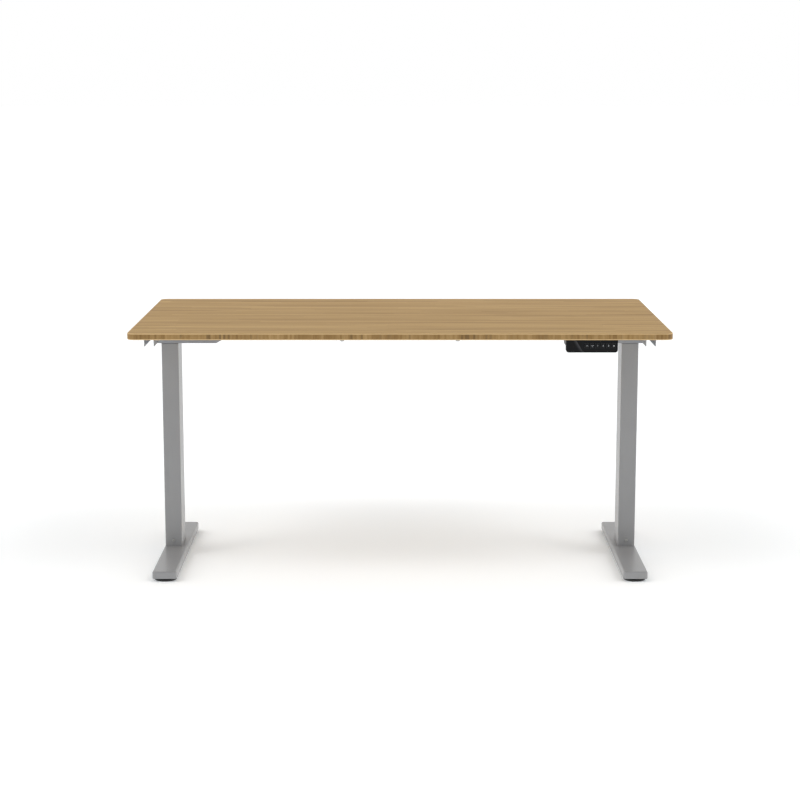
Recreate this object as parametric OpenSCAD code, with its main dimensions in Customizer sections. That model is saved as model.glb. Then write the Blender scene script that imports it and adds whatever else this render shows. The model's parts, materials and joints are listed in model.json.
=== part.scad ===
// Height adjustable standing desk: a bamboo top on a steel frame with two electric lifting legs.
// Millimetres, +Z up, front towards -Y. The origin is on the floor under the middle of the desktop.
// The legs are drawn fully retracted.

/* [Desktop] */
// Width of the desktop, side to side
top_w = 1524; // [1500:1:1600]
// Depth of the desktop, front to back
top_d = 762; // [740:1:800]
// Thickness of the desktop
top_t = 19; // [18:1:30]
// Plan radius of the desktop's corners
top_corner_r = 22; // [5:1:40]

/* [Frame] */
// Height of the frame's top over the floor, legs retracted
frame_h = 706; // [706:1:716]
// Distance from the desk's centre line to the middle of each leg
leg_x = 682; // [670:1:690]
// How far the legs stand in front of the desktop's middle
leg_forward = 17; // [10:1:25]
// Height of the boxes that hold the motors
box_h = 55; // [54:1:58]
// Length of the side brackets under the desktop
bracket_l = 566; // [520:2:600]
// Depth of the side brackets' flanges
bracket_h = 30; // [26:1:34]

/* [Lift] */
// Travel of the lift
lift_travel = 500; // [300:10:500]
// Teeth of the worm wheel
wheel_teeth = 20; // [16:1:24]

/* [Legs and feet] */
// Width of the outer tube, side to side
outer_w = 50; // [48:1:52]
// Depth of the outer tube, front to back
outer_d = 90; // [88:1:90]
// Length of the feet
foot_l = 580; // [500:5:620]
// Width of the feet
foot_w = 70; // [66:1:74]
// Height of the feet without their glides
foot_h = 21; // [20:1:24]
// How far the feet's middle lies in front of the desktop's middle
foot_forward = 54; // [40:1:60]
// Radius of the levelling glides
glide_r = 32; // [24:1:34]
// Travel of the levelling glides
glide_travel = 8; // [2:1:8]

/* [Handset] */
// Width of the handset's face
handset_w = 145; // [145:1:160]
// Height of the handset's face
handset_h = 36; // [34:1:40]
// Distance between the handset's keys
key_pitch = 15; // [14:0.5:15.5]
// Travel of the keys
key_travel = 0.4; // [0.2:0.1:0.4]

/* [Hidden] */

$fn = 48;
eps = 0.01;
sheet = 2;
tube_wall = 2;
running = 0.05;

steel_grey = "silver";
zinc_grey = "darkgray";
plastic_black = [0.1, 0.1, 0.11];

// Levels and places shared by the whole frame
leg_y = -leg_forward;
foot_x = leg_x - 7;
foot_y = -foot_forward;
glide_h = 9;
foot_top = glide_h + foot_h;
box_top = frame_h - sheet;
box_bottom = box_top - box_h;
box_out_x = leg_x + 40;
box_in_x = leg_x - 198;
box_slant_run = 60;
box_slant_rise = 35;
box_w = outer_d;

// Telescopic tubes: a gap of guide_gap all round is filled by plastic guides
guide_gap = 1;
outer_r = 3;
plug_h = 26;
collar_lip = 1.5;
tube_top = box_bottom - 0.5 - collar_lip;
inner_w = outer_w - 2 * (tube_wall + guide_gap);
inner_d = outer_d - 2 * (tube_wall + guide_gap);
inner_bottom = foot_top + plug_h + 6;
pad_h = 30;
collar_bottom = inner_bottom + lift_travel + pad_h + 5;

// Lifting spindle, its nut on a post, and the worm gear that turns it
spindle_r = 7;
spindle_bottom = foot_top + 30;
nut_bottom = spindle_bottom + lift_travel + 5;
nut_h = 40;
nut_r = 13;
post_wall = 2;
gear_z = box_bottom + sheet + 21;
gear_offset = 22;
wheel_r = 15.5;
worm_r = 6;
wheel_h = 12;
gearbox_half = 24;
gearbox_h = 39;
cover_h = 6;
journal_r = 4;
motor_r = 20;
motor_l = 90;

// Crossbar
beam_half = 195;
beam_w = 80;
beam_h = 44;
beam_wall = 2.5;
rail_gap = 0.2;
rail_w = beam_w - 2 * (beam_wall + rail_gap);
rail_h = beam_h - 2 * beam_wall - 2 * rail_gap;
rail_in_x = 70;
rail_out_x = leg_x - 130;
beam_bottom = box_top - beam_h;
beam_bolt_x = 172;
beam_bolt_y = 25;

// Side brackets
bracket_w = 29;
bracket_out_x = box_out_x + sheet;
bracket_screws = [for (s = [-1, 1], y = [120, 230]) s * y];
bracket_bolt_z = box_top - 14;
bracket_bolt_y = 28;

// Feet
foot_wall = 3;
foot_corner_r = 6;
foot_bolt_dx = 12;
foot_bolt_dy = 34;
foot_bolt_r = 4;
leg_screw_z = foot_top + 18;
stud_r = 4;
glide_inset = 34;
glide_pad_h = 8;

// Control box
control_w = 280;
control_d = 110;
control_y = 115;
control_h = 40;
control_wall = 2.5;
ear_w = 18;
inlet_w = 31;
inlet_h = 24;
inlet_x = -60;
inlet_depth = 18;
socket_z = frame_h - 20;
plug_w = 12;
plug_h_z = 9;
plug_l = 16;
motor_socket_y = control_y + 20;
handset_socket_y = control_y - 30;

// Handset
handset_x = 535.5;
handset_front = 9 - top_d / 2;
handset_d = 60;
face_t = 1.5;
face_corner_r = 8;
bezel_d = 12;
handset_body_h = 18;
key_z = frame_h - 17;
key_w = 12.4;
key_h = 15;
key_gap = 0.3;
key_proud = key_travel + 0.1;
key_lip = 0.6;
first_key_x = 521.6;
window_w = 36;
window_h = 24;
window_x = 488;

// Leads: diameters and routes, from the housing at one end to the plug at the other
motor_lead_r = 3;
handset_lead_r = 2;
lead_steps = 3;
motor_lead_y = 104;
handset_lead_x = 465;
handset_lead_y = 80;
motor_route = [[600, 25, 690], [600, 38, 690], [599, 62, 694], [593, 88, 700], [576, 101, 702],
    [550, 104, 702], [500, 104, 702], [400, 104, 702], [300, 104, 702], [230, 104, 702],
    [200, 107, 700], [180, 120, 692], [165, 133, 687], [154, 135, 686]];
handset_route = [[535.5, -314, 697], [535.5, -302, 697], [532, -288, 699], [519, -273, 702],
    [497, -260, 703.5], [475, -246, 703.5], [465, -222, 703.5], [465, -190, 703.5],
    [465, -150, 703.5], [465, -90, 703.5], [465, 0, 703.5], [465, 50, 703.5], [459, 70, 703.5],
    [440, 79, 703.5], [415, 80, 703.5], [390, 80, 703.5], [330, 80, 703.5], [280, 80, 703.5],
    [240, 80, 703.5], [200, 81, 703], [180, 83, 696], [166, 85, 688], [154, 85, 686]];
motor_clips = [330, 410, 480];
handset_clips_x = [305, 360];
handset_clips_y = [-170, -75];

// ---- Shapes that repeat ----

// A centred rectangle with true arcs at its corners
module rounded_rect(w, d, r) {
    square([w - 2 * r, d], center = true);
    square([w, d - 2 * r], center = true);
    for (sx = [-1, 1], sy = [-1, 1])
        translate([sx * (w / 2 - r), sy * (d / 2 - r)])
            circle(r = r);
}

// An upright length of rectangular tube, from level z0 to level z1
module rect_tube(w, d, r, wall, z0, z1) {
    translate([0, 0, z0])
        linear_extrude(z1 - z0)
            difference() {
                rounded_rect(w, d, r);
                rounded_rect(w - 2 * wall, d - 2 * wall, max(r - wall, 1));
            }
}

// A box given by its low and high corners
module box(low, high) {
    translate(low)
        cube(high - low);
}

// A wood screw pointing up: its head hangs below level z, its shank reaches up into the desktop
module wood_screw(z) {
    translate([0, 0, z - 2.6])
        cylinder(r1 = 2.6, r2 = 4.5, h = 2.6);
    translate([0, 0, z - eps])
        cylinder(r = 2, h = frame_h + 13 - z + eps);
}

// Every place where a wood screw goes into the desktop, with the thickness of what it holds
module at_each_wood_screw() {
    for (side = [-1, 1], y = bracket_screws)
        translate([side * (bracket_out_x - bracket_w / 2), leg_y + y, 0]) {
            $held = sheet;
            children();
        }
    for (sx = [-1, 1], sy = [-1, 1])
        translate([sx * (control_w / 2 + ear_w / 2), control_y + sy * 38, 0]) {
            $held = 3;
            children();
        }
    for (sx = [-1, 1])
        translate([handset_x + sx * 55, handset_front + handset_d + 8, 0]) {
            $held = 3;
            children();
        }
}

// Points of a smooth curve through a route, with a few steps between each two points
function curve_point(a, b, c, d, t) =
    0.5 * ((2 * b) + (c - a) * t + (2 * a - 5 * b + 4 * c - d) * t * t
        + (3 * b - a - 3 * c + d) * t * t * t);
function smooth_route(p) = concat(
    [for (i = [0:len(p) - 2], k = [0:lead_steps - 1])
        curve_point(p[max(i - 1, 0)], p[i], p[i + 1], p[min(i + 2, len(p) - 1)], k / lead_steps)],
    [p[len(p) - 1]]);
function unit(v) = v / norm(v);
function route_direction(p, i) = unit(p[min(i + 1, len(p) - 1)] - p[max(i - 1, 0)]);
// The side vector carried along a route without twisting
function carried_sides(p, i = 0, sides = []) =
    i == len(p) ? sides :
    let (dir = route_direction(p, i),
        last = i == 0 ? [0, 0, 1] : sides[i - 1],
        side = unit(last - dir * (last * dir)))
    carried_sides(p, i + 1, concat(sides, [side]));

// A round lead swept along a route
module lead(route, r, around = 10) {
    p = smooth_route(route);
    sides = carried_sides(p);
    points = [for (i = [0:len(p) - 1], k = [0:around - 1])
        let (dir = route_direction(p, i), turn = 360 * k / around)
        p[i] + r * (cos(turn) * sides[i] + sin(turn) * cross(dir, sides[i]))];
    walls = [for (i = [0:len(p) - 2], k = [0:around - 1])
        let (a = i * around + k, b = i * around + (k + 1) % around)
        [a, a + around, b + around, b]];
    start = [for (k = [0:around - 1]) k];
    end = [for (k = [around - 1:-1:0]) (len(p) - 1) * around + k];
    polyhedron(points = points, faces = concat([start], walls, [end]), convexity = 4);
}

// ---- Desktop ----

module desktop() {
    color([0.70, 0.59, 0.44])
        difference() {
            translate([0, 0, frame_h])
                linear_extrude(top_t)
                    rounded_rect(top_w, top_d, top_corner_r);
            at_each_wood_screw()
                translate([0, 0, frame_h - 1])
                    cylinder(r = 2, h = 14);
        }
}

// ---- Frame under the desktop (right-hand side; the left is its mirror image) ----

// Folded steel box over the leg, with a slanted inner end
module top_box() {
    slant = atan2(box_slant_rise, box_slant_run);
    slant_x = box_in_x + box_slant_run;
    slant_z = box_bottom + box_slant_rise;
    outline = [[box_out_x, box_bottom], [box_out_x, box_top], [box_in_x, box_top],
        [box_in_x, slant_z], [slant_x, box_bottom]];
    inside = [[box_out_x - sheet, box_bottom + sheet], [box_out_x - sheet, box_top - sheet],
        [box_in_x + sheet, box_top - sheet],
        [box_in_x + sheet, slant_z + sheet * tan((90 - slant) / 2)],
        [slant_x + sheet * tan(slant / 2), box_bottom + sheet]];
    color(steel_grey)
        difference() {
            translate([0, leg_y + box_w / 2, 0])
                rotate([90, 0, 0])
                    linear_extrude(box_w)
                        polygon(outline);
            translate([0, leg_y + box_w / 2 - sheet, 0])
                rotate([90, 0, 0])
                    linear_extrude(box_w - 2 * sheet)
                        polygon(inside);
            // way in for the inner tube
            translate([leg_x, leg_y, box_bottom - 1])
                linear_extrude(sheet + 2)
                    rounded_rect(inner_w, inner_d, outer_r - 0.5);
            // way in for the crossbar's rail
            box([box_in_x - 5, leg_y - rail_w / 2, beam_bottom + beam_wall],
                [box_in_x + box_slant_run, leg_y + rail_w / 2, beam_bottom + beam_wall + rail_h]);
            // bolts of the side bracket
            for (s = [-1, 1])
                translate([box_out_x - 5, leg_y + s * bracket_bolt_y, bracket_bolt_z])
                    rotate([0, 90, 0])
                        cylinder(r = 3, h = 10);
            // way out for the motor's lead
            translate([motor_route[0][0], leg_y + box_w / 2 - 5, motor_route[0][2]])
                rotate([-90, 0, 0])
                    cylinder(r = motor_lead_r + 0.5, h = 10);
        }
}

// Downward channel along the desktop's end, notched where the box enters it
module side_bracket() {
    x0 = bracket_out_x - bracket_w;
    y0 = leg_y - bracket_l / 2;
    color(steel_grey)
        difference() {
            box([x0, y0, frame_h - bracket_h], [bracket_out_x, y0 + bracket_l, frame_h]);
            box([x0 + sheet, y0 - 1, frame_h - bracket_h - 1],
                [bracket_out_x - sheet, y0 + bracket_l + 1, frame_h - sheet]);
            box([x0 - 1, leg_y - box_w / 2, frame_h - bracket_h - 1],
                [x0 + sheet + 1, leg_y + box_w / 2, frame_h - sheet]);
            for (y = bracket_screws)
                translate([bracket_out_x - bracket_w / 2, leg_y + y, frame_h - sheet - 1])
                    cylinder(r = 2, h = sheet + 2);
            for (s = [-1, 1])
                translate([bracket_out_x - sheet - 1, leg_y + s * bracket_bolt_y, bracket_bolt_z])
                    rotate([0, 90, 0])
                        cylinder(r = 3, h = sheet + 2);
        }
}

// Crossbar rail: runs from the box into the centre beam
module rail() {
    z0 = beam_bottom + beam_wall;
    wall = beam_wall;
    color(steel_grey)
        difference() {
            box([rail_in_x, leg_y - rail_w / 2, z0], [rail_out_x, leg_y + rail_w / 2, z0 + rail_h]);
            box([rail_in_x - 1, leg_y - rail_w / 2 + wall, z0 + wall],
                [rail_out_x + 1, leg_y + rail_w / 2 - wall, z0 + rail_h - wall]);
            for (s = [-1, 1])
                translate([beam_bolt_x, leg_y + s * beam_bolt_y, z0 - 1])
                    cylinder(r = 3, h = wall + 2);
        }
}

// Beam in the middle that both rails slide into
module centre_beam() {
    color(steel_grey)
        difference() {
            box([-beam_half, leg_y - beam_w / 2, beam_bottom],
                [beam_half, leg_y + beam_w / 2, box_top]);
            box([-beam_half - 1, leg_y - beam_w / 2 + beam_wall, beam_bottom + beam_wall],
                [beam_half + 1, leg_y + beam_w / 2 - beam_wall, box_top - beam_wall]);
            for (sx = [-1, 1], sy = [-1, 1])
                translate([sx * beam_bolt_x, leg_y + sy * beam_bolt_y, beam_bottom - 1])
                    cylinder(r = 3, h = beam_wall + 2);
        }
}

// Hexagon bolts with washers that clamp the rails in the beam
module beam_bolts() {
    color(zinc_grey)
        for (sx = [-1, 1], sy = [-1, 1])
            translate([sx * beam_bolt_x, leg_y + sy * beam_bolt_y, beam_bottom]) {
                translate([0, 0, -8])
                    cylinder(r = 5.8, h = 6.4, $fn = 6);
                translate([0, 0, -1.6])
                    cylinder(r = 6.5, h = 1.6);
                cylinder(r = 3, h = 10);
            }
}

// Button-head bolts through the brackets' outer flanges into the boxes' ends
module bracket_bolts() {
    color(zinc_grey)
        for (side = [0, 1], s = [-1, 1])
            mirror([side, 0, 0])
                translate([bracket_out_x, leg_y + s * bracket_bolt_y, bracket_bolt_z])
                    rotate([0, 90, 0])
                        difference() {
                            union() {
                                cylinder(r = 5.2, h = 1.6);
                                translate([0, 0, 1.6 - eps])
                                    cylinder(r1 = 5.2, r2 = 3.4, h = 1.8);
                                translate([0, 0, -12])
                                    cylinder(r = 3, h = 13);
                            }
                            translate([0, 0, 1.2])
                                cylinder(r = 2.3, h = 3, $fn = 6);
                        }
}

module desktop_screws() {
    color(zinc_grey)
        at_each_wood_screw()
            wood_screw(frame_h - $held);
}

// ---- Lifting leg (right-hand side) ----

module inner_tube() {
    color(steel_grey)
        translate([leg_x, leg_y, 0])
            rect_tube(inner_w, inner_d, outer_r - 0.5, tube_wall, inner_bottom, box_bottom + sheet);
}

// Plastic pads round the foot of the inner tube that run inside the outer tube
module slide_pads() {
    t = guide_gap - running;
    color("dimgray")
        translate([leg_x, leg_y, 0])
            rect_tube(inner_w + 2 * t, inner_d + 2 * t, outer_r - 1, t, inner_bottom, inner_bottom + pad_h);
}

module outer_tube() {
    color(steel_grey)
        difference() {
            translate([leg_x, leg_y, 0])
                rect_tube(outer_w, outer_d, outer_r, tube_wall, foot_top, tube_top);
            translate([leg_x, leg_y - outer_d / 2 - 1, leg_screw_z])
                rotate([-90, 0, 0])
                    cylinder(r = 3, h = tube_wall + 2);
        }
}

// Plastic guide in the mouth of the outer tube, with a lip over its rim
module tube_collar() {
    bore_w = inner_w + 2 * running;
    bore_d = inner_d + 2 * running;
    color("dimgray")
        translate([leg_x, leg_y, 0])
            difference() {
                union() {
                    translate([0, 0, tube_top])
                        linear_extrude(collar_lip)
                            rounded_rect(outer_w, outer_d, outer_r);
                    translate([0, 0, collar_bottom])
                        linear_extrude(tube_top - collar_bottom + 1)
                            rounded_rect(outer_w - 2 * tube_wall, outer_d - 2 * tube_wall, 1);
                }
                translate([0, 0, collar_bottom - 1])
                    linear_extrude(tube_top + collar_lip - collar_bottom + 2)
                        rounded_rect(bore_w, bore_d, outer_r - 0.5 + running);
            }
}

// Hollow post that stands in the leg and carries the nut
module nut_post() {
    color(zinc_grey)
        translate([leg_x, leg_y, foot_top])
            difference() {
                cylinder(r = nut_r, h = nut_bottom + 10 - foot_top);
                translate([0, 0, -1])
                    cylinder(r = nut_r - post_wall, h = nut_bottom + 12 - foot_top);
            }
}

// Nut on the post: it stays still while the spindle turns and climbs through it
module spindle_nut() {
    color("darkgoldenrod")
        translate([leg_x, leg_y, nut_bottom])
            difference() {
                union() {
                    cylinder(r = nut_r - post_wall, h = 10 + eps);
                    translate([0, 0, 10])
                        cylinder(r = nut_r, h = nut_h - 10);
                }
                translate([0, 0, -1])
                    cylinder(r = spindle_r + running, h = nut_h + 2);
            }
}

module spindle() {
    shoulder_z = gear_z - wheel_h / 2;
    color("lightgray")
        translate([leg_x, leg_y, 0])
            rotate_extrude()
                polygon([[0, spindle_bottom], [spindle_r - 2, spindle_bottom],
                    [spindle_r, spindle_bottom + 2], [spindle_r, shoulder_z],
                    [spindle_r - 1, shoulder_z], [spindle_r - 1, gear_z + 14],
                    [spindle_r - 2, gear_z + 14], [spindle_r - 2, gear_z + 23], [0, gear_z + 23]]);
}

// Worm wheel on the spindle, with a notch for each tooth gap
module worm_wheel() {
    color("darkgoldenrod")
        translate([leg_x, leg_y, gear_z])
            difference() {
                union() {
                    cylinder(r = wheel_r, h = wheel_h, center = true);
                    cylinder(r = 10, h = wheel_h / 2 + 4);
                }
                cylinder(r = spindle_r - 1, h = 3 * wheel_h, center = true);
                for (k = [0:wheel_teeth - 1])
                    rotate(360 * k / wheel_teeth)
                        translate([wheel_r, 0, 0])
                            cylinder(r = 1.1, h = wheel_h + 2, center = true, $fn = 16);
            }
}

// Motor shaft with its rotor and, at its outer end, the worm
module worm_shaft() {
    x0 = leg_x - gearbox_half - motor_l + 4;
    color("lightgray")
        translate([x0, leg_y + gear_offset, gear_z])
            rotate([0, 90, 0]) {
                cylinder(r = journal_r, h = leg_x + 21 - x0);
                translate([0, 0, 10])
                    cylinder(r = 15, h = motor_l - 28);
                translate([0, 0, leg_x - 14 - x0])
                    rotate_extrude()
                        polygon(concat([[journal_r - 1, 0]],
                            [for (k = [0:6]) each [[worm_r - 1.6, 4 * k], [worm_r, 4 * k + 1],
                                [worm_r, 4 * k + 3], [worm_r - 1.6, 4 * k + 4]]],
                            [[journal_r - 1, 28]]));
            }
}

// Cast housing of the worm gear
module gearbox() {
    bottom = box_bottom + sheet;
    color("gray")
        difference() {
            box([leg_x - gearbox_half, leg_y - 24, bottom],
                [leg_x + gearbox_half, leg_y + 34, bottom + gearbox_h]);
            translate([leg_x, leg_y, bottom - 1])
                cylinder(r = spindle_r + running, h = gearbox_h);
            translate([leg_x, leg_y, gear_z - wheel_h / 2 - 0.5])
                cylinder(r = wheel_r + 1, h = gearbox_h);
            translate([leg_x - gearbox_half - 1, leg_y + gear_offset, gear_z])
                rotate([0, 90, 0]) {
                    cylinder(r = worm_r + 0.5, h = gearbox_half + 18);
                    cylinder(r = journal_r + running, h = 2 * gearbox_half - 1);
                }
        }
}

module gearbox_cover() {
    bottom = box_bottom + sheet + gearbox_h;
    color("gray")
        difference() {
            box([leg_x - gearbox_half, leg_y - 24, bottom],
                [leg_x + gearbox_half, leg_y + 34, bottom + cover_h]);
            translate([leg_x, leg_y, bottom - 1])
                cylinder(r = spindle_r - 2 + running, h = cover_h + 2);
            for (sx = [-1, 1], y = [-19, 29])
                translate([leg_x + sx * 19, leg_y + y, bottom + 3])
                    cylinder(r = 3, h = cover_h);
        }
}

// Motor casing with a bearing bore in each end
module motor_can() {
    x0 = leg_x - gearbox_half - motor_l;
    color([0.25, 0.25, 0.27])
        translate([x0, leg_y + gear_offset, gear_z])
            rotate([0, 90, 0])
                difference() {
                    cylinder(r = motor_r, h = motor_l);
                    translate([0, 0, 8])
                        cylinder(r = motor_r - 2, h = motor_l - 16);
                    translate([0, 0, 3])
                        cylinder(r = journal_r + running, h = motor_l);
                }
}

// ---- Feet (right-hand side) ----

// Inverted steel tray with a plug for the leg tube and threaded bosses for the glides
module foot() {
    color(steel_grey)
        difference() {
            union() {
                difference() {
                    translate([foot_x, foot_y, glide_h])
                        linear_extrude(foot_h)
                            rounded_rect(foot_w, foot_l, foot_corner_r);
                    translate([foot_x, foot_y, glide_h - 1])
                        linear_extrude(foot_h - foot_wall + 1)
                            rounded_rect(foot_w - 2 * foot_wall, foot_l - 2 * foot_wall,
                                foot_corner_r - foot_wall);
                }
                for (s = [-1, 1])
                    translate([foot_x, foot_y + s * (foot_l / 2 - glide_inset), glide_h])
                        cylinder(r = 10, h = foot_h - foot_wall + 1);
                translate([leg_x, leg_y, foot_top - eps])
                    linear_extrude(plug_h)
                        rounded_rect(outer_w - 2 * tube_wall - 0.2, outer_d - 2 * tube_wall - 0.2, 1);
            }
            for (s = [-1, 1])
                translate([foot_x, foot_y + s * (foot_l / 2 - glide_inset), glide_h - 1])
                    cylinder(r = stud_r + running, h = foot_h - foot_wall);
            translate([leg_x, leg_y, foot_top])
                cylinder(r = nut_r, h = plug_h + 2);
            for (sx = [-1, 1], sy = [-1, 1])
                translate([leg_x + sx * foot_bolt_dx, leg_y + sy * foot_bolt_dy, glide_h])
                    cylinder(r = foot_bolt_r, h = foot_h + 12);
            translate([leg_x, leg_y - outer_d / 2, leg_screw_z])
                rotate([-90, 0, 0])
                    cylinder(r = 3, h = 16);
        }
}

// Hexagon bolts up through the foot, and the small screw in the front of the leg tube
module foot_bolts() {
    under = foot_top - foot_wall;
    color(zinc_grey) {
        for (sx = [-1, 1], sy = [-1, 1])
            translate([leg_x + sx * foot_bolt_dx, leg_y + sy * foot_bolt_dy, under]) {
                translate([0, 0, -5.5])
                    cylinder(r = 7.5, h = 5.5, $fn = 6);
                translate([0, 0, -eps])
                    cylinder(r = foot_bolt_r, h = 13);
            }
        translate([leg_x, leg_y - outer_d / 2, leg_screw_z])
            rotate([90, 0, 0])
                difference() {
                    union() {
                        cylinder(r1 = 4.6, r2 = 3.6, h = 1.6);
                        translate([0, 0, -14])
                            cylinder(r = 3, h = 14 + eps);
                    }
                    translate([0, 0, 0.3])
                        cylinder(r = 1.8, h = 3, $fn = 6);
                }
    }
}

// Levelling glide: a round plastic pad on a threaded stud; s is -1 in front and 1 behind
module glide(s) {
    color(plastic_black)
        translate([foot_x, foot_y + s * (foot_l / 2 - glide_inset), 0]) {
            rotate_extrude()
                polygon([[0, 0], [glide_r - 1, 0], [glide_r, 1], [glide_r, glide_pad_h - 2],
                    [glide_r - 2, glide_pad_h], [9, glide_pad_h], [9, glide_h], [0, glide_h]]);
            translate([0, 0, glide_h - eps])
                cylinder(r = stud_r, h = foot_h - foot_wall - 4);
        }
}

// ---- Electrics ----

// Tray of the control box, open at the top, with sockets in its ends and the inlet in its back
module control_box() {
    half = control_w / 2;
    y0 = control_y - control_d / 2;
    y1 = control_y + control_d / 2;
    bottom = frame_h - control_h;
    color(plastic_black)
        difference() {
            box([-half, y0, bottom], [half, y1, frame_h - 3]);
            box([-half + control_wall, y0 + control_wall, bottom + control_wall],
                [half - control_wall, y1 - control_wall, frame_h]);
            for (side = [-1, 1])
                translate([side * half, motor_socket_y, socket_z])
                    cube([10, plug_w, plug_h_z], center = true);
            translate([half, handset_socket_y, socket_z])
                cube([10, plug_w, plug_h_z], center = true);
            translate([inlet_x, y1, socket_z])
                cube([inlet_w - 4, 10, inlet_h - 4], center = true);
            // cooling slots in the underside
            for (k = [0:7])
                box([30 + 9 * k, control_y - 30, bottom - 1], [33 + 9 * k, control_y + 30, bottom + 4]);
        }
}

// Lid of the control box, with ears that screw to the desktop
module control_box_lid() {
    half = control_w / 2;
    color(plastic_black)
        difference() {
            union() {
                box([-half, control_y - control_d / 2, frame_h - 3],
                    [half, control_y + control_d / 2, frame_h]);
                for (sx = [-1, 1], sy = [-1, 1])
                    translate([sx * (half + ear_w / 2 - 1), control_y + sy * 38, frame_h - 1.5])
                        cube([ear_w + 2, 20, 3], center = true);
            }
            for (sx = [-1, 1], sy = [-1, 1])
                translate([sx * (half + ear_w / 2), control_y + sy * 38, frame_h - 4])
                    cylinder(r = 2, h = 5);
        }
}

// Three-blade power inlet in the back of the control box
module power_inlet() {
    y1 = control_y + control_d / 2;
    color([0.16, 0.16, 0.17])
        translate([inlet_x, y1, socket_z]) {
            difference() {
                union() {
                    translate([0, 1, 0])
                        cube([inlet_w, 2, inlet_h], center = true);
                    translate([0, -inlet_depth / 2 + 1, 0])
                        cube([inlet_w - 4, inlet_depth, inlet_h - 4], center = true);
                }
                translate([0, -inlet_depth / 2 + 4, 0])
                    cube([inlet_w - 7, inlet_depth, inlet_h - 7], center = true);
            }
            for (k = [-1, 0, 1])
                translate([7 * k, -inlet_depth + 8.5, k == 0 ? 2.5 : -2])
                    cube([2, 9, 4], center = true);
        }
}

// Plugs on the ends of the leads, in the control box's sockets
module lead_plugs() {
    color(plastic_black)
        for (place = [[-1, motor_socket_y], [1, motor_socket_y], [1, handset_socket_y]])
            translate([place[0] * (control_w / 2 - 2 + plug_l / 2), place[1], socket_z])
                cube([plug_l, plug_w, plug_h_z], center = true);
}

// A saddle under the desktop that holds a lead of radius r which runs along X
module lead_clip(r, level) {
    difference() {
        box([-6, -r - 3, level - r - 1.5], [6, r + 3, frame_h]);
        translate([-7, 0, level])
            rotate([0, 90, 0])
                cylinder(r = r, h = 14);
    }
}

module lead_clips() {
    color(plastic_black) {
        for (x = motor_clips)
            for (side = [-1, 1])
                translate([side * x, motor_lead_y, 0])
                    lead_clip(motor_lead_r, 702);
        for (x = handset_clips_x)
            translate([x, handset_lead_y, 0])
                lead_clip(handset_lead_r, 703.5);
        for (y = handset_clips_y)
            translate([handset_lead_x, y, 0])
                rotate(90)
                    lead_clip(handset_lead_r, 703.5);
    }
}

module motor_lead() {
    color([0.08, 0.08, 0.08])
        lead(motor_route, motor_lead_r);
}

module handset_lead() {
    color([0.08, 0.08, 0.08])
        lead(handset_route, handset_lead_r);
}

// ---- Handset ----

// Outline of the face, with round lower corners
module handset_outline() {
    half = handset_w / 2;
    low = face_corner_r - handset_h;
    polygon([[-half, 0], [-half, low], [half, low], [half, 0]]);
    translate([-half + face_corner_r, -handset_h])
        square([handset_w - 2 * face_corner_r, face_corner_r + 1]);
    for (s = [-1, 1])
        translate([s * (half - face_corner_r), low])
            circle(r = face_corner_r);
}

// Stands a flat shape up in the handset's face: y is the distance behind the front, t its thickness
module handset_slab(y, t) {
    translate([handset_x, handset_front + y + t, frame_h])
        rotate([90, 0, 0])
            linear_extrude(t)
                children();
}

// Deep front rim, then a shallower body and a flange for the screws
module handset_body() {
    color(plastic_black)
        difference() {
            union() {
                handset_slab(face_t, bezel_d - face_t)
                    handset_outline();
                box([handset_x - handset_w / 2, handset_front + bezel_d - 1, frame_h - handset_body_h],
                    [handset_x + handset_w / 2, handset_front + handset_d, frame_h]);
                box([handset_x - 66, handset_front + handset_d - 1, frame_h - 3],
                    [handset_x + 66, handset_front + handset_d + 16, frame_h]);
            }
            // hollow for the keys and their board
            box([handset_x - 69, handset_front - 1, frame_h - handset_h + 4],
                [handset_x + 69, handset_front + bezel_d - 2, frame_h - 3]);
            box([handset_x - 69, handset_front + bezel_d - 3, frame_h - handset_body_h + 3],
                [handset_x + 69, handset_front + 30, frame_h - 3]);
            translate([handset_x, handset_front + 25, frame_h - 9])
                rotate([-90, 0, 0])
                    cylinder(r = handset_lead_r + 0.5, h = handset_d);
            for (sx = [-1, 1])
                translate([handset_x + sx * 55, handset_front + handset_d + 8, frame_h - 4])
                    cylinder(r = 2, h = 5);
        }
}

// Front panel with an opening for each key and one for the display
module handset_face() {
    color([0.09, 0.1, 0.12])
        difference() {
            handset_slab(0, face_t)
                handset_outline();
            for (k = [0:5])
                translate([first_key_x + k * key_pitch, handset_front, key_z])
                    cube([key_w + 2 * key_gap, 4 * face_t, key_h + 2 * key_gap], center = true);
            translate([window_x, handset_front, key_z])
                cube([window_w, 4 * face_t, window_h], center = true);
        }
}

module display_window() {
    color([0.02, 0.02, 0.03])
        translate([window_x, handset_front + face_t / 2, key_z])
            cube([window_w, face_t, window_h], center = true);
}

// A key: its cap stands proud of the face, and a lip behind the face keeps it in
module key(k) {
    color([0.1, 0.11, 0.13])
        translate([first_key_x + k * key_pitch, handset_front, key_z]) {
            box([-key_w / 2, -key_proud, -key_h / 2], [key_w / 2, face_t + 3, key_h / 2]);
            box([-key_w / 2 - key_lip, face_t, -key_h / 2 - key_lip],
                [key_w / 2 + key_lip, face_t + 1, key_h / 2 + key_lip]);
        }
}

// ---- Sub-parts ----

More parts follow.
